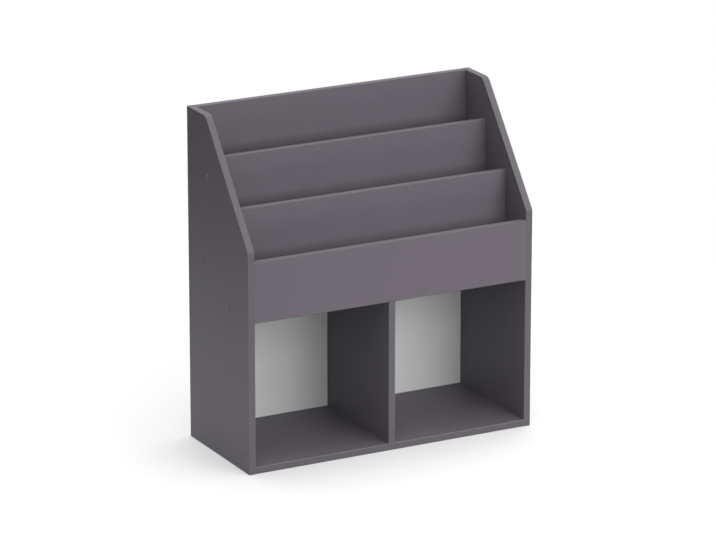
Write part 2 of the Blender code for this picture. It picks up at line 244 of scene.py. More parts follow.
def prismSurface(ring, low, high):
    # point(i, j) = corner j of the ring at level i, all in mm, and a face that closes each level
    points = np.vstack([np.column_stack([ring, np.full(len(ring), level)]) for level in (low, high)]) * mm
    ends = np.arange(len(points)).reshape(2, -1).tolist()
    return points, gridFaces(2, len(ring), loopColumns=True) + ends


def joinSurfaces(surfaces):
    # one list of points and faces, each surface's corners counted on from the ones before
    starts = np.cumsum([0] + [len(points) for points, faces in surfaces])
    joined = [[corner + start for corner in face]
              for (points, faces), start in zip(surfaces, starts) for face in faces]
    return np.vstack([points for points, faces in surfaces]), joined


# Materials

# One decor in two batches: the carcass is a little greyer than the boards of the book pockets
# the last colour paints the bands' rounds paler: painted highlight along the arris, partly scraper whitening
boardShades = {
    "carcass": {"faceDark": "#646068", "faceLight": "#6B676F", "bandDark": "#605C62", "bandLight": "#646066",
                "scrapedAndHighlight": "#807B83"},
    "pocket": {"faceDark": "#675F69", "faceLight": "#6E6670", "bandDark": "#625C63", "bandLight": "#666067",
               "scrapedAndHighlight": "#6A636B"},
}
noiseSpread = {"From Min": 0.3, "From Max": 0.7}  # where nearly all of a noise texture's values lie


def makeMelamine(batch):
    # Melamine-faced chipboard, pressed against a pearl-embossed plate: an even, closed, silk-matt skin whose
    # fine orange-peel grain breaks up reflections. The real grain is about 0.7 mm, drawn at 1.6 mm to show.
    look = {"dark": boardShades[batch]["faceDark"], "light": boardShades[batch]["faceLight"], "grainMm": 1.6,
            "grainDeepMm": 0.06, "grainBump": 0.5, "mottleMm": 45, "mottleShare": 0.35, "shadeLow": 0.45,
            "shadeHigh": 0.9, "roughLow": 0.54, "roughHigh": 0.60}
    material, tree, shader = startMaterial("pressed_pearl_melamine_" + batch, {"IOR": 1.5})
    place = addNode(tree, "ShaderNodeTexCoord").outputs["Object"]
    mottle = addNode(tree, "ShaderNodeTexNoise", {}, {"Vector": place, "Scale": perMetre(look["mottleMm"]),
                     "Detail": 4.0, "Roughness": 0.6})
    grain = addNode(tree, "ShaderNodeTexNoise", {}, {"Vector": place, "Scale": perMetre(look["grainMm"]),
                    "Detail": 2.0})
    both = addNode(tree, "ShaderNodeMath", {"operation": "MULTIPLY_ADD"},
                   {0: mottle.outputs["Fac"], 1: look["mottleShare"], 2: grain.outputs["Fac"]})
    spread = addNode(tree, "ShaderNodeMapRange", {}, {"Value": both.outputs[0], "From Min": look["shadeLow"],
                     "From Max": look["shadeHigh"]})
    colour = addNode(tree, "ShaderNodeMix", {"data_type": "RGBA"},
                     {0: spread.outputs[0], 6: linear(look["dark"]), 7: linear(look["light"])})
    rough = addNode(tree, "ShaderNodeMapRange", {}, {"Value": mottle.outputs["Fac"], **noiseSpread,
                    "To Min": look["roughLow"], "To Max": look["roughHigh"]})
    bump = addNode(tree, "ShaderNodeBump", {}, {"Height": grain.outputs["Fac"], "Strength": look["grainBump"],
                   "Distance": look["grainDeepMm"] * mm})
    linkShader(tree, shader, {"Base Color": colour.outputs[2], "Roughness": rough.outputs[0],
                              "Normal": bump.outputs[0]})
    return material


def makeEdgeBand(batch):
    # ABS edge band, extruded and glued on: a little darker and greyer than the faces, with faint lines along
    # its length from the die. Its rounds are painted paler: a painted highlight along the arris, partly the
    # scraper's whitening. The lines are about 0.3 mm apart; they are drawn at 0.8 mm to show.
    look = {"dark": boardShades[batch]["bandDark"], "light": boardShades[batch]["bandLight"],
            "scrapedAndHighlight": boardShades[batch]["scrapedAndHighlight"], "lineMm": 0.8, "lineLongMm": 90, "lineDeepMm": 0.008,
            "lineBump": 0.4, "roughLow": 0.56, "roughHigh": 0.66}
    material, tree, shader = startMaterial("extruded_abs_edge_band_" + batch, {"IOR": 1.53})
    strip = addNode(tree, "ShaderNodeAttribute", {"attribute_name": "stripPlace"})
    fine = perMetre(look["lineMm"])
    stretch = addNode(tree, "ShaderNodeMapping", {}, {"Vector": strip.outputs["Vector"],
                      "Scale": (perMetre(look["lineLongMm"]), fine, fine)})
    lines = addNode(tree, "ShaderNodeTexNoise", {}, {"Vector": stretch.outputs[0], "Scale": 1.0,
                    "Detail": 3.0})
    drawn = addNode(tree, "ShaderNodeMix", {"data_type": "RGBA"},
                    {0: lines.outputs["Fac"], 6: linear(look["dark"]), 7: linear(look["light"])})
    # the rounds painted paler: a painted highlight along the arris, partly the scraper's whitening
    rounds = addNode(tree, "ShaderNodeAttribute", {"attribute_name": "scrapedAndHighlight"})
    colour = addNode(tree, "ShaderNodeMix", {"data_type": "RGBA"},
                     {0: rounds.outputs["Fac"], 6: drawn.outputs[2], 7: linear(look["scrapedAndHighlight"])})
    rough = addNode(tree, "ShaderNodeMapRange", {}, {"Value": lines.outputs["Fac"], **noiseSpread,
                    "To Min": look["roughLow"], "To Max": look["roughHigh"]})
    bump = addNode(tree, "ShaderNodeBump", {}, {"Height": lines.outputs["Fac"], "Strength": look["lineBump"],
                   "Distance": look["lineDeepMm"] * mm})
    linkShader(tree, shader, {"Base Color": colour.outputs[2], "Roughness": rough.outputs[0],
                              "Normal": bump.outputs[0]})
    return material


def makeChipboard():
    # Raw chipboard where it is sawn or drilled: pressed wood flakes, pale and dull, with darker bark specks.
    look = {"pale": "#CBB08A", "brown": "#9A7A54", "bark": "#5B4530", "flakeMm": 2.4, "flat": 2.2,
            "flakeDeepMm": 0.15, "flakeBump": 0.7, "barkMm": 3.5, "barkLow": 0.62, "barkHigh": 0.7}
    material, tree, shader = startMaterial("sawn_chipboard", {"Roughness": 0.85, "IOR": 1.5})
    place = addNode(tree, "ShaderNodeTexCoord").outputs["Object"]
    stretch = addNode(tree, "ShaderNodeMapping", {}, {"Vector": place, "Scale": (1.0, 1.0, look["flat"])})
    flakes = addNode(tree, "ShaderNodeTexVoronoi", {}, {"Vector": stretch.outputs[0],
                     "Scale": perMetre(look["flakeMm"])})
    shade = addNode(tree, "ShaderNodeSeparateColor", {}, {"Color": flakes.outputs["Color"]})
    wood = addNode(tree, "ShaderNodeMix", {"data_type": "RGBA"},
                   {0: shade.outputs[0], 6: linear(look["brown"]), 7: linear(look["pale"])})
    specks = addNode(tree, "ShaderNodeTexNoise", {}, {"Vector": stretch.outputs[0],
                     "Scale": perMetre(look["barkMm"]), "Detail": 3.0})
    bark = addNode(tree, "ShaderNodeMapRange", {}, {"Value": specks.outputs["Fac"],
                   "From Min": look["barkLow"], "From Max": look["barkHigh"]})
    colour = addNode(tree, "ShaderNodeMix", {"data_type": "RGBA"},
                     {0: bark.outputs[0], 6: wood.outputs[2], 7: linear(look["bark"])})
    bump = addNode(tree, "ShaderNodeBump", {}, {"Height": flakes.outputs["Distance"],
                   "Strength": look["flakeBump"], "Distance": look["flakeDeepMm"] * mm})
    linkShader(tree, shader, {"Base Color": colour.outputs[2], "Normal": bump.outputs[0]})
    return material


def makeHardboard():
    # Raw hardboard, its hidden side and edges: brown pressed fibre with the print of the wire mesh it dried
    # on. The mesh is about 1.3 mm; it is drawn at 2.6 mm to show.
    look = {"dark": "#6B4A31", "light": "#8D6847", "fibreMm": 5, "fibreCurl": 1.2, "meshMm": 2.6,
            "meshShare": 0.5, "meshDeepMm": 0.12, "meshBump": 0.6}
    material, tree, shader = startMaterial("pressed_fibre_hardboard", {"Roughness": 0.78, "IOR": 1.5})
    place = addNode(tree, "ShaderNodeTexCoord").outputs["Object"]
    fibre = addNode(tree, "ShaderNodeTexNoise", {}, {"Vector": place, "Scale": perMetre(look["fibreMm"]),
                    "Detail": 6.0, "Roughness": 0.7, "Distortion": look["fibreCurl"]})
    spread = addNode(tree, "ShaderNodeMapRange", {}, {"Value": fibre.outputs["Fac"], **noiseSpread})
    colour = addNode(tree, "ShaderNodeMix", {"data_type": "RGBA"},
                     {0: spread.outputs[0], 6: linear(look["dark"]), 7: linear(look["light"])})
    axes = addNode(tree, "ShaderNodeSeparateXYZ", {}, {"Vector": place})
    waves = []
    for axis in ("X", "Z"):
        turn = addNode(tree, "ShaderNodeMath", {"operation": "MULTIPLY"},
                       {0: axes.outputs[axis], 1: 2 * math.pi * perMetre(look["meshMm"])})
        waves.append(addNode(tree, "ShaderNodeMath", {"operation": "SINE"}, {0: turn.outputs[0]}))
    wires = addNode(tree, "ShaderNodeMath", {"operation": "MULTIPLY"},
                    {0: waves[0].outputs[0], 1: waves[1].outputs[0]})
    height = addNode(tree, "ShaderNodeMath", {"operation": "MULTIPLY_ADD"},
                     {0: wires.outputs[0], 1: look["meshShare"], 2: fibre.outputs["Fac"]})
    bump = addNode(tree, "ShaderNodeBump", {}, {"Height": height.outputs[0], "Strength": look["meshBump"],
                   "Distance": look["meshDeepMm"] * mm})
    linkShader(tree, shader, {"Base Color": colour.outputs[2], "Normal": bump.outputs[0]})
    return material


def makeBeech():
    # Beech dowels, turned and fluted: pinkish tan with short dark ray flecks along the grain.
    look = {"dark": "#B98A5E", "light": "#D9B48A", "fleckMm": 0.5, "fleckLongMm": 5, "fleckLow": 0.35,
            "fleckHigh": 0.6, "fleckDeepMm": 0.03, "fleckBump": 0.5}
    material, tree, shader = startMaterial("turned_beech", {"Roughness": 0.62, "IOR": 1.5})
    grain = addNode(tree, "ShaderNodeAttribute", {"attribute_name": "grainPlace"})
    fine = perMetre(look["fleckMm"])
    stretch = addNode(tree, "ShaderNodeMapping", {}, {"Vector": grain.outputs["Vector"],
                      "Scale": (fine, fine, perMetre(look["fleckLongMm"]))})
    flecks = addNode(tree, "ShaderNodeTexNoise", {}, {"Vector": stretch.outputs[0], "Scale": 1.0,
                     "Detail": 3.0})
    spread = addNode(tree, "ShaderNodeMapRange", {}, {"Value": flecks.outputs["Fac"],
                     "From Min": look["fleckLow"], "From Max": look["fleckHigh"]})
    colour = addNode(tree, "ShaderNodeMix", {"data_type": "RGBA"},
                     {0: spread.outputs[0], 6: linear(look["dark"]), 7: linear(look["light"])})
    bump = addNode(tree, "ShaderNodeBump", {}, {"Height": flecks.outputs["Fac"],
                   "Strength": look["fleckBump"], "Distance": look["fleckDeepMm"] * mm})
    linkShader(tree, shader, {"Base Color": colour.outputs[2], "Normal": bump.outputs[0]})
    return material


def makeClouded(name, sockets, look):
    # a coat or metal whose colour and gloss drift in soft clouds, with a fine grain over it
    material, tree, shader = startMaterial(name, sockets)
    place = addNode(tree, "ShaderNodeTexCoord").outputs["Object"]
    cloud = addNode(tree, "ShaderNodeTexNoise", {}, {"Vector": place, "Scale": perMetre(look["cloudMm"]),
                    "Detail": look["cloudDetail"]})
    grain = addNode(tree, "ShaderNodeTexNoise", {}, {"Vector": place, "Scale": perMetre(look["grainMm"]),
                    "Detail": look["grainDetail"]})
    colour = addNode(tree, "ShaderNodeMix", {"data_type": "RGBA"},
                     {0: cloud.outputs["Fac"], 6: linear(look["dark"]), 7: linear(look["light"])})
    rough = addNode(tree, "ShaderNodeMapRange", {}, {"Value": cloud.outputs["Fac"], **noiseSpread,
                    "To Min": look["roughLow"], "To Max": look["roughHigh"]})
    bump = addNode(tree, "ShaderNodeBump", {}, {"Height": grain.outputs["Fac"], "Strength": look["grainBump"],
                   "Distance": look["grainDeepMm"] * mm})
    linkShader(tree, shader, {"Base Color": colour.outputs[2], "Roughness": rough.outputs[0],
                              "Normal": bump.outputs[0]})
    return material


melamine = {batch: makeMelamine(batch) for batch in boardShades}
edgeBand = {batch: makeEdgeBand(batch) for batch in boardShades}
chipboard = makeChipboard()
hardboard = makeHardboard()
beech = makeBeech()
# White lacquered hardboard, its shown side: a thin rolled coat with a slight orange peel and a satin gloss.
lacquer = makeClouded("rolled_white_lacquer", {"IOR": 1.5}, {
    "dark": "#E8E8E7", "light": "#F0F0EF", "roughLow": 0.38, "roughHigh": 0.46, "cloudMm": 60,
    "cloudDetail": 3.0, "grainMm": 2.6, "grainDetail": 1.0, "grainDeepMm": 0.015, "grainBump": 0.5})
# Injection-moulded polyethylene caps, a little paler than the board: matt all over from a spark-eroded mould,
# whose grain of about 0.15 mm is drawn at 0.5 mm to show.
capPlastic = makeClouded("moulded_cap_plastic", {"IOR": 1.5, "Specular IOR Level": 0.1}, {
    "dark": "#868389", "light": "#8D8A90", "roughLow": 0.70, "roughHigh": 0.80, "cloudMm": 4,
    "cloudDetail": 2.0, "grainMm": 0.5, "grainDetail": 1.0, "grainDeepMm": 0.012, "grainBump": 0.5})
# Bright zinc plating on steel: silvery, slightly clouded. Its grain is about 0.1 mm, drawn at 0.6 mm to show.
zincPlate = makeClouded("zinc_plated_steel", {"Metallic": 1.0}, {
    "dark": "#C2C3C2", "light": "#D8D9D8", "roughLow": 0.26, "roughHigh": 0.38, "cloudMm": 6,
    "cloudDetail": 4.0, "grainMm": 0.6, "grainDetail": 2.0, "grainDeepMm": 0.006, "grainBump": 0.5})
# Die-cast zinc: duller and greyer, with the sandy skin of the mould, whose grain of about 0.2 mm is drawn at
# 0.7 mm to show.
castZinc = makeClouded("die_cast_zinc", {"Metallic": 1.0}, {
    "dark": "#A6A7A8", "light": "#BDBEBF", "roughLow": 0.42, "roughHigh": 0.55, "cloudMm": 5,
    "cloudDetail": 4.0, "grainMm": 0.7, "grainDetail": 2.0, "grainDeepMm": 0.02, "grainBump": 0.5})
print("materials made:", len(bpy.data.materials))


# Fittings: each is turned once, head at the origin and body along -Z, then copied to its CAD node's place.
# Their sizes are in mm.

def makeCap():
    # a shallow dome, depth = rise * (r / R) to the power of bulge, with a rounded rim and a peg below
    cap = {"radius": 6.3, "rise": 0.62, "bulge": 2.6, "rim": 0.35, "seat": 1.2, "seatBreak": 0.1,
           "pegRadius": 1.6, "pegBreak": 0.3, "length": 4.3, "domeSteps": 14, "rimSteps": 6, "sides": 48}
    rimFrom = cap["radius"] - cap["rim"]
    span = np.linspace(0, rimFrom, cap["domeSteps"])
    dome = np.column_stack([span, cap["rise"] * (span / cap["radius"]) ** cap["bulge"]])
    turn = np.linspace(0, np.pi / 2, cap["rimSteps"])[1:]
    rim = np.column_stack([rimFrom + cap["rim"] * np.sin(turn),
                           dome[-1, 1] + cap["rim"] * (1 - np.cos(turn))])
    under = [[cap["radius"], cap["seat"] - cap["seatBreak"]],
             [cap["radius"] - cap["seatBreak"], cap["seat"]],
             [cap["pegRadius"], cap["seat"]],
             [cap["pegRadius"], cap["length"] - cap["pegBreak"]],
             [cap["pegRadius"] - cap["pegBreak"], cap["length"]],
             [0, cap["length"]]]
    mesh = meshFrom("screw_cap", *turnProfile(np.vstack([dome, rim, under]), cap["sides"]))
    softShade(mesh)
    return mesh


def threadRipple(startMm, endMm, pitchMm, heightMm):
    # ridge = height * triangle wave of (depth / pitch - turns), cut off at root and crest, and faded in and
    # out over half a pitch
    start, end, pitch, height = (size * mm for size in (startMm, endMm, pitchMm, heightMm))
    root, flank = 0.35, 0.5  # shares of the wave's height below the ridge and on its flank

    def ripple(depth, angle):
        phase = (depth / pitch - angle / (2 * np.pi)) % 1
        ridge = np.clip((1 - np.abs(2 * phase - 1) - root) / flank, 0, 1)
        fade = np.clip((depth - start) / (pitch / 2), 0, 1) * np.clip((end - depth) / (pitch / 2), 0, 1)
        return height * ridge * fade
    return ripple


def makeScrew():
    # countersunk head with a hexagon socket, plain shank, then a core with a coarse thread and a cone tip
    screw = {"head": 5.0, "headBreak": 0.2, "rim": 1.5, "cone": 3.0, "shank": 3.5, "shankEnd": 16.3,
             "shoulder": 0.5, "core": 2.5, "crest": 0.9, "pitch": 3.0, "runIn": 1.0, "runOut": 1.5,
             "tip": 4.0, "length": 50.0, "socket": 2.2, "socketDeep": 2.6, "socketTip": 0.6,
             "socketSides": 6, "cutterOver": 1.0, "sides": 36, "step": 0.5}
    threadEnd = screw["length"] - screw["tip"]
    corners = [[0, 0],
               [screw["head"] - screw["headBreak"], 0],
               [screw["head"], screw["headBreak"]],
               [screw["head"], screw["rim"]],
               [screw["shank"], screw["rim"] + screw["cone"]],
               [screw["shank"], screw["shankEnd"] - screw["shoulder"]],
               [screw["core"], screw["shankEnd"] + screw["shoulder"]],
               [screw["core"], threadEnd],
               [0, screw["length"]]]
    ripple = threadRipple(screw["shankEnd"] + screw["runIn"], threadEnd + screw["runOut"], screw["pitch"],
                          screw["crest"])
    body = turnProfile(sampleProfile(corners, screw["step"]), screw["sides"], ripple)
    key = [[0, -screw["cutterOver"]],
           [screw["socket"], -screw["cutterOver"]],
           [screw["socket"], screw["socketDeep"]],
           [0, screw["socketDeep"] + screw["socketTip"]]]
    socket = turnProfile(key, screw["socketSides"])
    mesh = carvedMesh(meshFrom("screw", *body), [meshFrom("socket", *socket)])
    softShade(mesh)
    return mesh


def makeCam():
    # a drum with bevelled rims, a crossed driver recess and an arrow notch towards its bolt (+X)
    cam = {"radius": 7.5, "bevel": 0.4, "height": 11.4, "slotLong": 10.0, "slotWide": 2.2, "slotDeep": 2.8,
           "hubRadius": 2.0, "hubDeep": 3.1, "hubTip": 3.7, "hubSides": 24, "arrowFrom": 5.3, "arrowTip": 6.7,
           "arrowHalf": 0.8, "arrowDeep": 0.5, "cutterOver": 1.0, "sides": 48, "sharpAngle": 30}
    over = cam["cutterOver"]
    corners = [[0, 0],
               [cam["radius"] - cam["bevel"], 0],
               [cam["radius"], cam["bevel"]],
               [cam["radius"], cam["height"] - cam["bevel"]],
               [cam["radius"] - cam["bevel"], cam["height"]],
               [0, cam["height"]]]
    drum = turnProfile(corners, cam["sides"])
    long, wide = cam["slotLong"] / 2, cam["slotWide"] / 2
    slots = [prismSurface([[-x, -y], [x, -y], [x, y], [-x, y]], -cam["slotDeep"], over)
             for x, y in ((long, wide), (wide, long))]
    hub = turnProfile([[0, -over], [cam["hubRadius"], -over], [cam["hubRadius"], cam["hubDeep"]],
                       [0, cam["hubTip"]]], cam["hubSides"])
    arrow = prismSurface([[cam["arrowFrom"], -cam["arrowHalf"]], [cam["arrowTip"], 0],
                          [cam["arrowFrom"], cam["arrowHalf"]]], -cam["arrowDeep"], over)
    mesh = carvedMesh(meshFrom("cam", *drum), [meshFrom("recess", *tool) for tool in (*slots, hub, arrow)])
    softShade(mesh, cam["sharpAngle"])
    return mesh


def makeBolt():
    # threaded end for the side, plain shank, slim neck and the head that the cam grips
    bolt = {"thread": 2.5, "crest": 0.55, "pitch": 1.6, "runIn": 0.6, "endBreak": 0.6, "endLong": 0.8,
            "faceAt": 11.7, "collarIn": 0.2, "collarLow": 0.3, "collarHigh": 0.5, "shank": 3.4,
            "shankEnd": 38.5, "shankBreak": 0.4, "neck": 2.0, "neckEnd": 44.5, "head": 3.2, "gripBreak": 0.5,
            "headBreak": 0.9, "length": 47.5, "sides": 36, "step": 0.4}
    corners = [[0, 0],
               [bolt["thread"] - bolt["endBreak"], 0],
               [bolt["thread"], bolt["endLong"]],
               [bolt["thread"], bolt["faceAt"]],
               [bolt["shank"] - bolt["collarIn"], bolt["faceAt"] + bolt["collarLow"]],
               [bolt["shank"], bolt["faceAt"] + bolt["collarHigh"]],
               [bolt["shank"], bolt["shankEnd"] - bolt["shankBreak"]],
               [bolt["shank"] - bolt["shankBreak"], bolt["shankEnd"]],
               [bolt["neck"], bolt["shankEnd"]],
               [bolt["neck"], bolt["neckEnd"]],
               [bolt["head"] - bolt["gripBreak"], bolt["neckEnd"]],
               [bolt["head"], bolt["neckEnd"] + bolt["gripBreak"]],
               [bolt["head"], bolt["length"] - bolt["headBreak"]],
               [bolt["head"] - bolt["headBreak"], bolt["length"]],
               [0, bolt["length"]]]
    ripple = threadRipple(bolt["runIn"], bolt["faceAt"], bolt["pitch"], bolt["crest"])
    mesh = meshFrom("cam_bolt", *turnProfile(sampleProfile(corners, bolt["step"]), bolt["sides"], ripple))
    softShade(mesh)
    return mesh


def makeDowel():
    # a chamfered pin whose radius dips by a cosine of the angle, one dip for each flute
    dowel = {"radius": 4.0, "chamfer": 1.0, "length": 30.0, "flutes": 18, "fluteDeep": 0.28, "sides": 108,
             "step": 2.0, "sharpAngle": 50}
    corners = [[0, 0],
               [dowel["radius"] - dowel["chamfer"], 0],
               [dowel["radius"], dowel["chamfer"]],
               [dowel["radius"], dowel["length"] - dowel["chamfer"]],
               [dowel["radius"] - dowel["chamfer"], dowel["length"]],
               [0, dowel["length"]]]

    def ripple(depth, angle):
        return -dowel["fluteDeep"] * mm * (1 - np.cos(dowel["flutes"] * angle)) / 2

    points, faces = turnProfile(sampleProfile(corners, dowel["step"]), dowel["sides"], ripple)
    mesh = meshFrom("dowel", points, faces)
    grain = mesh.attributes.new("grainPlace", "FLOAT_VECTOR", "POINT")
    grain.data.foreach_set("vector", points.astype(np.float32).ravel())
    softShade(mesh, dowel["sharpAngle"])
    return mesh


def makePin():
    # a flat round head with a soft rim, a thin shank and a drawn point
    pin = {"head": 2.0, "headHigh": 0.6, "flat": 1.2, "flatDeep": 0.03, "topIn": 0.25, "topDeep": 0.12,
           "widestAt": 0.32, "rimIn": 0.05, "rimHigh": 0.06, "underIn": 0.2, "shank": 0.8, "point": 2.4,
           "length": 20.6, "sides": 28}
    corners = [[0, 0],
               [pin["flat"], pin["flatDeep"]],
               [pin["head"] - pin["topIn"], pin["topDeep"]],
               [pin["head"], pin["widestAt"]],
               [pin["head"] - pin["rimIn"], pin["headHigh"] - pin["rimHigh"]],
               [pin["head"] - pin["underIn"], pin["headHigh"]],
               [pin["shank"], pin["headHigh"]],
               [pin["shank"], pin["length"] - pin["point"]],
               [0, pin["length"]]]
    mesh = meshFrom("back_pin", *turnProfile(corners, pin["sides"]))
    softShade(mesh)
    return mesh


# by the start of a node's name, the longer of two first; the holes that a fitting needs are given as
# (radius, from depth, to depth) below its head
fittings = {
    "screw_cap_": {"mesh": makeCap(), "look": capPlastic, "slot": "anthracite_plastic", "holes": []},
    "screw_": {"mesh": makeScrew(), "look": zincPlate, "slot": "zinc_plated_steel",
               "holes": [(5.3, -3.0, 2.0), (3.8, 1.0, 16.8), (2.8, 16.0, 50.4)]},
    "cam_lock_": {"mesh": makeCam(), "look": castZinc, "slot": "cast_zinc", "holes": [(7.8, -3.0, 11.7)]},
    "cam_bolt_": {"mesh": makeBolt(), "look": zincPlate, "slot": "zinc_plated_steel",
                  "holes": [(3.3, -0.3, 11.8), (4.0, 11.6, 47.8)]},
    "dowel_": {"mesh": makeDowel(), "look": beech, "slot": "beech", "holes": [(4.3, -0.3, 30.3)]},
    "back_pin_": {"mesh": makePin(), "look": zincPlate, "slot": "zinc_plated_steel", "holes": []},
}
drillSides = 24
# the rest look out of the carcass on their own side
rearFacing = ("back_pin_", "cam_lock_front", "cam_lock_upper")
downFacing = ("screw_base", "cam_lock_base", "dowel_centre", "dowel_front_divider", "dowel_rear_divider")


def placing(node):
    # a turn whose columns say where X, Y and Z go, and the middle of the head, which looks along Z
    low, high = (np.array(corner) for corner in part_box(node))
    side = -1.0 if node.endswith("_left") else 1.0
    if node.startswith(rearFacing):
        out, toward = (0, 1, 0), (side, 0, 0)
    elif node.startswith(downFacing):
        out, toward = (0, 0, -1), (side, 0, 0)
    else:
        out, toward = (side, 0, 0), (0, 0, 1)
    head = (low + high) / 2 + np.array(out) * (high - low) / 2
    return np.column_stack([toward, np.cross(out, toward), out]), head


# cams' bores are cut apart from the others, because the bolts' bores run into them
holes = {"cams": [], "others": []}
turned = sorted(node for node in nodes if node.startswith(tuple(fittings)))
for node in turned:
    kind = next(prefix for prefix in fittings if node.startswith(prefix))
    fitting = fittings[kind]
    turnTo, head = placing(node)
    mesh = fitting["mesh"].copy()
    mesh.transform(Matrix.Translation(head) @ Matrix(turnTo.tolist()).to_4x4())
    addPiece(node + "_turned", mesh, [fitting["look"]], [node])
    group = holes["cams" if kind == "cam_lock_" else "others"]
    for radius, start, end in fitting["holes"]:
        points, faces = turnProfile([[0, start], [radius, start], [radius, end], [0, end]], drillSides)
        group.append((points @ turnTo.T + head, faces))
print("fittings placed:", len(turned))


# Boards: a sawn core with melamine faces, and bands that cover the edges that show

boardLook = {
    "bandThick": 1.3 * mm,
    "bandRound": 1.1 * mm,  # outer corners of a band, which catch the light along the uprights' tops
    "sideRound": 0.5 * mm,  # smaller on the sides, flush with the front panel
    "roundSteps": 6,
    "glueLine": 0.02 * mm,  # between core and band
    "arris": 0.12 * mm,  # broken edge of the core, which draws the seam
    "endReach": 0.22 * mm,  # how much nearer to the sides than in the CAD a board ends, for a tight joint
    "sharpAngle": 30,
}
# as in the CAD outline, with the two blunt corners eased so that the band can follow them
sideOutline = {"levelTop": 94 * mm, "leanStart": 517 * mm, "topEase": 24 * mm, "leanEase": 10 * mm,
               "easeSteps": 7}
# which axes run along, up and through a board, by the axis that it is thin in
planeOrder = {"x": (1, 2, 0), "y": (0, 2, 1), "z": (0, 1, 2)}
# edges of a rectangle count from the lower one, anticlockwise; each inner list is one unbroken band
boards = {
    "side_panel_left": {"batch": "carcass", "through": "x", "bands": {"band": "all but the lowest"}},
    "side_panel_right": {"batch": "carcass", "through": "x", "bands": {"band": "all but the lowest"}},
    "bottom_panel": {"batch": "carcass", "through": "z", "bands": {"band": [0]}},
    "centre_divider": {"batch": "carcass", "through": "x", "bands": {"band": [3]}},
    "cubby_top_panel": {"batch": "carcass", "through": "z", "bands": {}},
    "front_panel": {"batch": "pocket", "through": "y", "bands": {"band_top": [2], "band_bottom": [0]}},
    "pocket_divider_front": {"batch": "pocket", "through": "y", "bands": {"band": [2]}},
    "pocket_divider_rear": {"batch": "pocket", "through": "y", "bands": {"band": [2]}},
    "raised_pocket_floor": {"batch": "carcass", "through": "z", "bands": {}},
    "upper_back_panel": {"batch": "pocket", "through": "y", "bands": {"band": [2]}},
}


def toAxes(local, order):
    # from (along, up, through) to X, Y and Z
    placed = np.empty_like(local)
    placed[..., list(order)] = local
    return placed


def easeCorner(outline, corner, radius, steps):
    # an arc that touches both edges: its centre is where their lines meet once both have moved in by radius
    centre = moveEdges(outline, np.full(len(outline), radius))[corner]
    normal = edgeNormals(outline)
    start, end = (math.atan2(*normal[edge][::-1]) for edge in (corner - 1, corner))
    turn = np.linspace(start, start + (end - start) % (2 * math.pi), steps)
    arc = centre + radius * np.column_stack([np.cos(turn), np.sin(turn)])
    return np.vstack([outline[:corner], arc, outline[corner + 1:]])


def boardOutline(node, order, endReach=0.0):
    # the outline anticlockwise, and the levels of the two faces; a side's fourth and fifth corners are eased
    low, high = (np.array(corner)[list(order)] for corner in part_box(node))
    low[0] -= endReach
    high[0] += endReach
    corners = [[low[0], low[1]], [high[0], low[1]], [high[0], high[1]], [low[0], high[1]]]
    if not node.startswith("side_panel"):
        return np.array(corners), low[2], high[2]
    corners[3] = [high[0] - sideOutline["levelTop"], high[1]]
    corners.append([low[0], sideOutline["leanStart"]])
    outline = easeCorner(np.array(corners), 4, sideOutline["leanEase"], sideOutline["easeSteps"])
    outline = easeCorner(outline, 3, sideOutline["topEase"], sideOutline["easeSteps"])
    return outline, low[2], high[2]


def slabSurface(outline, near, far, arris):
    # a straight side with broken edges carried round the outline, and the two faces that close it
    profile = np.array([[-arris, near], [0, near + arris], [0, far - arris], [-arris, far]])
    points = carryProfile(outline, profile, closed=True)
    rows, columns = points.shape[:2]
    index = np.arange(rows * columns).reshape(rows, columns)
    return points, gridFaces(rows, columns, loopRows=True) + index[:, [0, -1]].T.tolist()


def bandProfile(near, far, bend):
    # flat inner face on the core, and two quarter rounds on the outer corners with a short flat beside each;
    # the second array is how much painted highlight and scraper whitening each point gets, most mid-round
    thick = boardLook["bandThick"]
    turn = np.linspace(0, np.pi / 2, boardLook["roundSteps"])
    lower = np.column_stack([-bend + bend * np.sin(turn), near + bend - bend * np.cos(turn)])
    flat = np.array([[0, near + 2 * bend], [0, far - 2 * bend]])
    upper = np.column_stack([-bend + bend * np.cos(turn), far - bend + bend * np.sin(turn)])
    scrapedAndHighlight = np.sin(2 * turn)
    return (np.vstack([[[-thick, near]], lower, flat, upper, [[-thick, far]]]),
            np.concatenate([[0], scrapedAndHighlight, [0, 0], scrapedAndHighlight, [0]]))


def makeBand(name, path, near, far, bend, order):
    # the band's profile carried along its edges; it keeps each point's place on the strip for the material
    profile, scrapedAndHighlight = bandProfile(near, far, bend)
    points = carryProfile(path, profile, closed=False)
    rows, columns = points.shape[:2]
    index = np.arange(rows * columns).reshape(rows, columns)
    faces = gridFaces(rows, columns, loopColumns=True) + index[[0, -1]].tolist()
    mesh = meshFrom(name, toAxes(points, order), faces)
    strip = np.stack(np.broadcast_arrays(runAlong(path)[:, None], profile[None, :, 1], profile[None, :, 0]),
                     axis=-1)
    mesh.attributes.new("stripPlace", "FLOAT_VECTOR", "POINT")
    mesh.attributes["stripPlace"].data.foreach_set("vector", strip.astype(np.float32).ravel())
    # how much of the painted highlight, partly scraper whitening, each point of a round gets
    mesh.attributes.new("scrapedAndHighlight", "FLOAT", "POINT")
    mesh.attributes["scrapedAndHighlight"].data.foreach_set("value", np.tile(scrapedAndHighlight, rows).astype(np.float32))
    softShade(mesh, boardLook["sharpAngle"])
    return mesh


def touching(surface, low, high):
    # whether a surface's box overlaps a board's
    points = surface[0]
    return bool(np.all(points.min(axis=0) < high) and np.all(points.max(axis=0) > low))


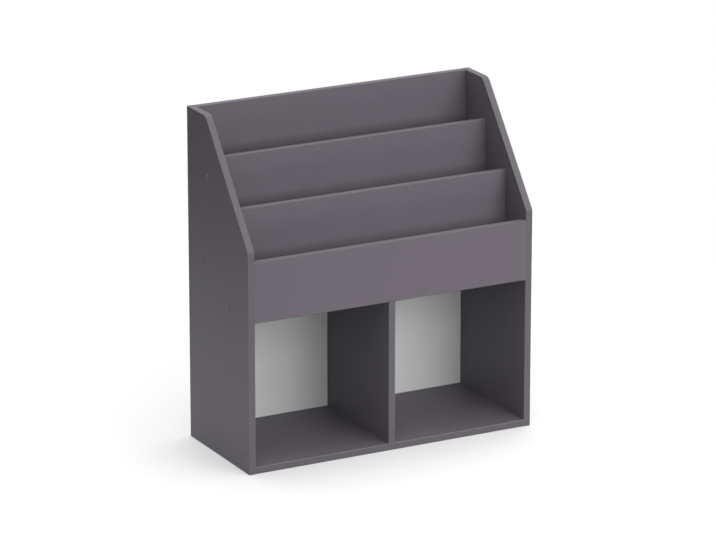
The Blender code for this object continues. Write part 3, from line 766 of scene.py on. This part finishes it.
def paintFaces(mesh, *coated):
    # faces in a coated plane (axis, level), and the broken edges beside it, keep material 0; sawn ones get 1
    leastTilt = 0.5  # how much of a coated face's normal lies along the axis
    count = len(mesh.polygons)
    normal = np.empty(count * 3, np.float32)
    centre = np.empty(count * 3, np.float32)
    mesh.polygons.foreach_get("normal", normal)
    mesh.polygons.foreach_get("center", centre)
    away, tilt = centre.reshape(-1, 3), np.abs(normal.reshape(-1, 3))
    kept = np.any([(np.abs(away[:, axis] - level) < boardLook["arris"]) & (tilt[:, axis] > leastTilt)
                   for axis, level in coated], axis=0)
    mesh.polygons.foreach_set("material_index", np.where(kept, 0, 1).astype(np.int32))


for node, board in boards.items():
    order = planeOrder[board["through"]]
    buttEnds = board["through"] != "x"
    outline, near, far = boardOutline(node, order, boardLook["endReach"] if buttEnds else 0.0)
    bands = {name: list(range(1, len(outline))) if isinstance(chain, str) else chain
             for name, chain in board["bands"].items()}
    banded = [edge for chain in bands.values() for edge in chain]
    inward = np.zeros(len(outline))
    inward[banded] = boardLook["bandThick"] + boardLook["glueLine"]
    points, faces = slabSurface(moveEdges(outline, inward), near, far, boardLook["arris"])
    low, high = (np.array(corner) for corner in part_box(node))
    drills = [[hole for hole in group if touching(hole, low, high)] for group in holes.values()]
    core = carvedMesh(meshFrom(node, toAxes(points, order), faces),
                      [meshFrom("drill", *joinSurfaces(group)) for group in drills if group])
    core.name = node + "_core"
    core.shade_flat()
    addPiece(node + "_core", core, [melamine[board["batch"]], chipboard], [node])
    # butt ends have a paper edging in the same decor
    ends = [(0, outline[:, 0].min()), (0, outline[:, 0].max())] if buttEnds else []
    paintFaces(core, (order[2], near), (order[2], far), *ends)
    bend = boardLook["sideRound" if node.startswith("side") else "bandRound"]
    for bandName, chain in bands.items():
        name = f"{node}_{bandName}"
        path = outline[np.array([*chain, chain[-1] + 1]) % len(outline)]
        addPiece(name, makeBand(name, path, near, far, bend, order), [edgeBand[board["batch"]]])
print("boards made:", len(boards))


# Back sheet: white in front, brown behind and on its edges

sheetLook = {"arris": 0.25 * mm}
order = planeOrder["y"]
outline, near, far = boardOutline("lower_back_sheet", order)
points, faces = slabSurface(outline, near, far, sheetLook["arris"])
sheet = meshFrom("lower_back_sheet_panel", toAxes(points, order), faces)
addPiece("lower_back_sheet_panel", sheet, [lacquer, hardboard], ["lower_back_sheet"])
paintFaces(sheet, (order[2], near))
print("back sheet made")


# Stage: a pale floor, soft boxes drawn on the sky, one close by, and the camera

floorLook = {"radius": 1.6, "rings": (0.02, 0.25, 0.5, 0.75, 1.0), "sides": 96, "colour": "#D5D5D5",
             "glow": 0.22, "bounceColour": "#9B9B9B", "drop": 0.3 * mm}
# azimuth 0 is in front and 90 on the viewer's right; the higher tight is, the smaller the box
softBoxes = {
    "front": {"azimuth": 10, "elevation": 7, "tight": 10, "strength": 2.5},
    "left": {"azimuth": -45, "elevation": 35, "tight": 10, "strength": 0.84},
    "overRight": {"azimuth": 90, "elevation": 62, "tight": 12, "strength": 1.31},
    "above": {"azimuth": 0, "elevation": 89, "tight": 6, "strength": 2.16},
    "overRear": {"azimuth": 170, "elevation": 58, "tight": 8, "strength": 1.73},
}
skyLook = {"ambient": 0.01, "shown": 1.0}
lampLook = {"wide": 1.0, "high": 0.8, "watts": 8.8, "place": (0.6, -1.6, 1.0), "aim": (0.0, 0.0, 0.35)}
cameraLook = {"azimuth": -27.91, "elevation": 17.36, "distance": 10.0, "aim": (-0.0049, 0.0026, 0.3843),
              "lensMm": 222.0, "sensorMm": 36.0}


def wayTo(azimuth, elevation):
    # unit vector from the middle of the stage
    turn, lift = math.radians(azimuth), math.radians(elevation)
    return Vector((math.sin(turn) * math.cos(lift), -math.cos(turn) * math.cos(lift), math.sin(lift)))


def seenRay(tree, mirrored=1.0):
    # 1 for rays that show the background: from the camera, through glass or, times mirrored, in a reflection
    path = addNode(tree, "ShaderNodeLightPath")
    mirror = addNode(tree, "ShaderNodeMath", {"operation": "MULTIPLY_ADD"},
                     {0: path.outputs["Is Glossy Ray"], 1: mirrored, 2: path.outputs["Is Transmission Ray"]})
    seen = addNode(tree, "ShaderNodeMath", {"operation": "MAXIMUM"},
                   {0: path.outputs["Is Camera Ray"], 1: mirror.outputs[0]})
    return seen.outputs[0]


def makeFloor():
    # point(i, j) = radius[i] at angle[j], a hair under the boards; the smallest ring is closed by one face
    radius = np.array(floorLook["rings"]) * floorLook["radius"]
    angle = np.arange(floorLook["sides"]) * 2 * np.pi / floorLook["sides"]
    points = np.stack([radius[:, None] * np.cos(angle), radius[:, None] * np.sin(angle),
                       np.full((len(radius), len(angle)), -floorLook["drop"])], axis=-1)
    faces = gridFaces(len(radius), len(angle), loopColumns=True) + [list(range(len(angle)))]
    floor = bpy.data.objects.new("studio_floor", meshFrom("studio_floor", points, faces))
    bpy.context.scene.collection.objects.link(floor)
    material = bpy.data.materials.new("matt_floor_paper")
    material.use_nodes = True
    tree = material.node_tree
    tree.nodes.clear()
    # what is seen is pale paper with a little glow, almost white but for the shadow; its bounce is held back
    paper = addNode(tree, "ShaderNodeBsdfDiffuse", {}, {"Color": linear(floorLook["colour"])})
    glow = addNode(tree, "ShaderNodeEmission", {}, {"Strength": floorLook["glow"]})
    shown = addNode(tree, "ShaderNodeAddShader", {}, {0: paper.outputs[0], 1: glow.outputs[0]})
    bounce = addNode(tree, "ShaderNodeBsdfDiffuse", {}, {"Color": linear(floorLook["bounceColour"])})
    mixed = addNode(tree, "ShaderNodeMixShader", {},
                    {0: seenRay(tree), 1: bounce.outputs[0], 2: shown.outputs[0]})
    addNode(tree, "ShaderNodeOutputMaterial", {}, {"Surface": mixed.outputs[0]})
    floor.data.materials.append(material)


def makeSky():
    # light = ambient + the sum of strength * exp(tight * (cosine to the box - 1)), over the horizon only
    world = bpy.data.worlds.new("soft_studio")
    bpy.context.scene.world = world
    world.use_nodes = True
    tree = world.node_tree
    tree.nodes.clear()
    way = addNode(tree, "ShaderNodeTexCoord").outputs["Generated"]
    light = skyLook["ambient"]
    for box in softBoxes.values():
        cosine = addNode(tree, "ShaderNodeVectorMath", {"operation": "DOT_PRODUCT"},
                         {0: way, 1: wayTo(box["azimuth"], box["elevation"])})
        fall = addNode(tree, "ShaderNodeMath", {"operation": "MULTIPLY_ADD"},
                       {0: cosine.outputs["Value"], 1: box["tight"], 2: -box["tight"]})
        lobe = addNode(tree, "ShaderNodeMath", {"operation": "EXPONENT"}, {0: fall.outputs[0]})
        light = addNode(tree, "ShaderNodeMath", {"operation": "MULTIPLY_ADD"},
                        {0: lobe.outputs[0], 1: box["strength"], 2: light}).outputs[0]
    height = addNode(tree, "ShaderNodeSeparateXYZ", {}, {"Vector": way}).outputs["Z"]
    above = addNode(tree, "ShaderNodeMath", {"operation": "GREATER_THAN"}, {0: height, 1: 0.0})
    dome = addNode(tree, "ShaderNodeMath", {"operation": "MULTIPLY"}, {0: light, 1: above.outputs[0]})
    # past the floor's edge and below the horizon a reflection finds the dark room
    strength = addNode(tree, "ShaderNodeMix", {"data_type": "FLOAT"},
                       {0: seenRay(tree, above.outputs[0]), 2: dome.outputs[0], 3: skyLook["shown"]})
    sky = addNode(tree, "ShaderNodeBackground", {}, {"Color": (1, 1, 1, 1), "Strength": strength.outputs[0]})
    addNode(tree, "ShaderNodeOutputWorld", {}, {"Surface": sky.outputs[0]})


def makeLamp():
    # a soft box close by on the right, so that the right compartment gets more of it than the left one
    data = bpy.data.lights.new("near_soft_box", "AREA")
    data.shape = "RECTANGLE"
    data.size = lampLook["wide"]
    data.size_y = lampLook["high"]
    data.energy = lampLook["watts"]
    lamp = bpy.data.objects.new("near_soft_box", data)
    bpy.context.scene.collection.objects.link(lamp)
    lamp.location = lampLook["place"]
    lamp.rotation_euler = (Vector(lampLook["aim"]) - lamp.location).to_track_quat("-Z", "Y").to_euler()
    lamp.visible_camera = False


def makeCamera():
    # at the photo's angle, far off with a long lens, because the photo's upright edges are parallel
    back = wayTo(cameraLook["azimuth"], cameraLook["elevation"])
    data = bpy.data.cameras.new("photo_camera")
    data.lens = cameraLook["lensMm"]
    data.sensor_width = cameraLook["sensorMm"]
    camera = bpy.data.objects.new("photo_camera", data)
    bpy.context.scene.collection.objects.link(camera)
    camera.location = Vector(cameraLook["aim"]) + back * cameraLook["distance"]
    camera.rotation_euler = (-back).to_track_quat("-Z", "Y").to_euler()
    bpy.context.scene.camera = camera


makeFloor()
makeSky()
makeLamp()
makeCamera()
bpy.context.scene.view_settings.view_transform = "Standard"
print("stage set")
